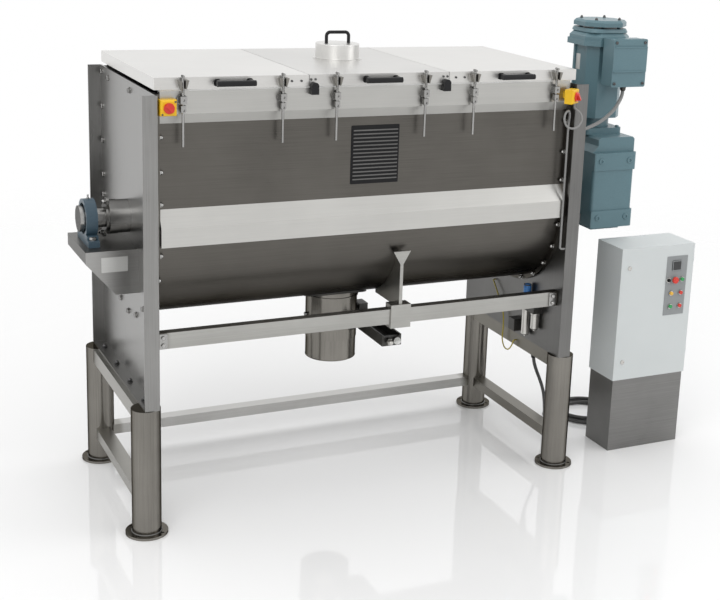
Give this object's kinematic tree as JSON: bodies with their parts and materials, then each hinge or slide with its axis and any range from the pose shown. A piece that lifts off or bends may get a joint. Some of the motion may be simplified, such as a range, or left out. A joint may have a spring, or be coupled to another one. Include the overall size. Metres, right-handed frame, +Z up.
{
  "type": "ribbon blender",
  "caption": "Stainless ribbon blender: a lidded U-shaped trough on tube legs, a ribbon rotor on a geared motor, a bottom valve and a control cabinet.",
  "frame": {"origin": "on the floor under the middle of the machine's outline, without its free supply cable", "axes": "+X along the mixing shaft towards the motor, +Y to the rear, +Z up; the lid grips and the cabinet door face -Y"},
  "size_m": [2.7672, 0.9716, 1.966],
  "materials": {
    "steel": "satin brushed stainless sheet",
    "polished_steel": "satin polished stainless bar and tube",
    "seal_strip": "matt white food-grade strip",
    "black_grip": "matt black moulding",
    "yellow_plastic": "semi-matt yellow moulding",
    "red_plastic": "gloss red moulding",
    "green_plastic": "gloss green moulding",
    "drive_paint": "semi-gloss blue-grey paint on cast iron and aluminium",
    "bearing_paint": "dark blue-grey paint on cast iron",
    "cabinet_paint": "fine-textured pale grey powder coat",
    "panel_grey": "matt grey panel",
    "plated_lock": "nickel plate",
    "actuator_metal": "dark anodised aluminium",
    "cable_sheath": "matt dark grey sheath"
  },
  "bodies": {
    "base": {"air_unit": "actuator_metal", "bearing_shelves": "steel", "cabinet_case": "cabinet_paint", "cabinet_plinth": "steel", "clamp_guides": "polished_steel", "end_plate_left": "steel", "end_plate_right": "steel", "fan_cowl": "drive_paint", "fixed_cables": "cable_sheath", "frame_beams": "polished_steel", "gearbox": "drive_paint", "hinge_brackets": "polished_steel", "isolator_boxes": "yellow_plastic", "legs": "polished_steel", "lid_switches": "black_grip", "motor": "drive_paint", "outlet_spout": "steel", "pillow_blocks": "bearing_paint", "rim_seal": "seal_strip", "seal_housings": "polished_steel", "supply_coil": "cable_sheath", "supply_cord": "cable_sheath", "support_bracket": "steel", "terminal_box": "drive_paint", "trough_rails": "steel", "trough_shell": "steel", "valve_actuator": "actuator_metal"},
    "rotor": {"shaft": "polished_steel", "outer_ribbons": "polished_steel", "inner_ribbons": "polished_steel", "spokes": "polished_steel"},
    "lid_left": {"lid_left": "steel", "lid_handle_left": "black_grip"},
    "lid_middle": {"lid_middle": "steel", "lid_handle_middle": "black_grip", "inlet_spigot": "steel"},
    "lid_right": {"lid_right": "steel", "lid_handle_right": "black_grip"},
    "inlet_cap": {"inlet_cap": "steel", "cap_handle": "black_grip"},
    "valve_disc": {"valve_disc": "polished_steel"},
    "isolator_knob_left": {"isolator_knob_left": "red_plastic"},
    "isolator_knob_right": {"isolator_knob_right": "red_plastic"},
    "cabinet_door": {"cabinet_door": "cabinet_paint", "control_panel": "panel_grey"},
    "door_lock_top": {"door_lock_top": "plated_lock"},
    "door_lock_low": {"door_lock_low": "plated_lock"},
    "key_selector": {"key_selector": "plated_lock"},
    "stop_mushroom": {"stop_mushroom": "red_plastic"},
    "main_switch": {"main_switch": "black_grip"},
    "clamp_rod_1": {"clamp_rod_1": "polished_steel"},
    "clamp_rod_2": {"clamp_rod_2": "polished_steel"},
    "clamp_rod_3": {"clamp_rod_3": "polished_steel"},
    "clamp_rod_4": {"clamp_rod_4": "polished_steel"},
    "clamp_rod_5": {"clamp_rod_5": "polished_steel"},
    "clamp_rod_6": {"clamp_rod_6": "polished_steel"},
    "button_green_top": {"button_green_top": "green_plastic"},
    "button_red_middle": {"button_red_middle": "red_plastic"},
    "button_green_low": {"button_green_low": "green_plastic"},
    "button_red_low": {"button_red_low": "red_plastic"}
  },
  "joints": [
    {"name": "rotor_spin", "type": "hinge", "parent": "base", "child": "rotor", "pos_m": [-0.27965, 0.01384, 1.19], "axis": [1, 0, 0], "continuous": true},
    {"name": "lid_left_open", "type": "hinge", "parent": "base", "child": "lid_left", "pos_m": [-0.88015, 0.44284, 1.765], "axis": [-1, 0, 0], "range_deg": [0, 95]},
    {"name": "lid_middle_open", "type": "hinge", "parent": "base", "child": "lid_middle", "pos_m": [-0.27965, 0.44284, 1.765], "axis": [-1, 0, 0], "range_deg": [0, 95]},
    {"name": "lid_right_open", "type": "hinge", "parent": "base", "child": "lid_right", "pos_m": [0.32085, 0.44284, 1.765], "axis": [-1, 0, 0], "range_deg": [0, 95]},
    {"name": "clamp_1_turn", "type": "hinge", "parent": "base", "child": "clamp_rod_1", "pos_m": [-1.07665, -0.41616, 1.716], "axis": [0, 0, 1], "range_deg": [0, 90]},
    {"name": "clamp_2_turn", "type": "hinge", "parent": "base", "child": "clamp_rod_2", "pos_m": [-0.68965, -0.41616, 1.716], "axis": [0, 0, 1], "range_deg": [0, 90]},
    {"name": "clamp_3_turn", "type": "hinge", "parent": "base", "child": "clamp_rod_3", "pos_m": [-0.46965, -0.41616, 1.716], "axis": [0, 0, 1], "range_deg": [0, 90]},
    {"name": "clamp_4_turn", "type": "hinge", "parent": "base", "child": "clamp_rod_4", "pos_m": [-0.08965, -0.41616, 1.716], "axis": [0, 0, 1], "range_deg": [0, 90]},
    {"name": "clamp_5_turn", "type": "hinge", "parent": "base", "child": "clamp_rod_5", "pos_m": [0.13035, -0.41616, 1.716], "axis": [0, 0, 1], "range_deg": [0, 90]},
    {"name": "clamp_6_turn", "type": "hinge", "parent": "base", "child": "clamp_rod_6", "pos_m": [0.51735, -0.41616, 1.716], "axis": [0, 0, 1], "range_deg": [0, 90]},
    {"name": "cap_lift", "type": "slide", "parent": "lid_middle", "child": "inlet_cap", "axis": [0, 0, 1], "range_m": [0, 0.15]},
    {"name": "valve_turn", "type": "hinge", "parent": "base", "child": "valve_disc", "pos_m": [-0.29365, 0.01384, 0.7], "axis": [1, 0, 0], "range_deg": [0, 90]},
    {"name": "isolator_left_turn", "type": "hinge", "parent": "base", "child": "isolator_knob_left", "pos_m": [-1.13465, -0.43616, 1.69], "axis": [0, -1, 0], "range_deg": [0, 90]},
    {"name": "isolator_right_turn", "type": "hinge", "parent": "base", "child": "isolator_knob_right", "pos_m": [0.57835, -0.44616, 1.69], "axis": [0.5736, -0.8192, 0], "range_deg": [0, 90]},
    {"name": "door_open", "type": "hinge", "parent": "base", "child": "cabinet_door", "pos_m": [1.36465, -0.34416, 0.6615], "axis": [0, 0, 1], "range_deg": [0, 110]},
    {"name": "door_lock_top_turn", "type": "hinge", "parent": "cabinet_door", "child": "door_lock_top", "pos_m": [1.00235, -0.36416, 0.883], "axis": [0, -1, 0], "range_deg": [0, 90]},
    {"name": "door_lock_low_turn", "type": "hinge", "parent": "cabinet_door", "child": "door_lock_low", "pos_m": [1.00235, -0.36416, 0.435], "axis": [0, -1, 0], "range_deg": [0, 90]},
    {"name": "selector_turn", "type": "hinge", "parent": "cabinet_door", "child": "key_selector", "pos_m": [1.22135, -0.36616, 0.809], "axis": [0, -1, 0], "range_deg": [-45, 45]},
    {"name": "stop_press", "type": "slide", "parent": "cabinet_door", "child": "stop_mushroom", "axis": [0, 1, 0], "range_m": [0, 0.004], "stiffness_N_per_m": 900},
    {"name": "button_green_top_press", "type": "slide", "parent": "cabinet_door", "child": "button_green_top", "axis": [0, 1, 0], "range_m": [0, 0.003], "stiffness_N_per_m": 600},
    {"name": "button_red_middle_press", "type": "slide", "parent": "cabinet_door", "child": "button_red_middle", "axis": [0, 1, 0], "range_m": [0, 0.003], "stiffness_N_per_m": 600},
    {"name": "button_green_low_press", "type": "slide", "parent": "cabinet_door", "child": "button_green_low", "axis": [0, 1, 0], "range_m": [0, 0.003], "stiffness_N_per_m": 600},
    {"name": "button_red_low_press", "type": "slide", "parent": "cabinet_door", "child": "button_red_low", "axis": [0, 1, 0], "range_m": [0, 0.003], "stiffness_N_per_m": 600},
    {"name": "main_switch_turn", "type": "hinge", "parent": "base", "child": "main_switch", "pos_m": [1.35835, -0.28616, 0.806], "axis": [1, 0, 0], "range_deg": [0, 90]}
  ]
}
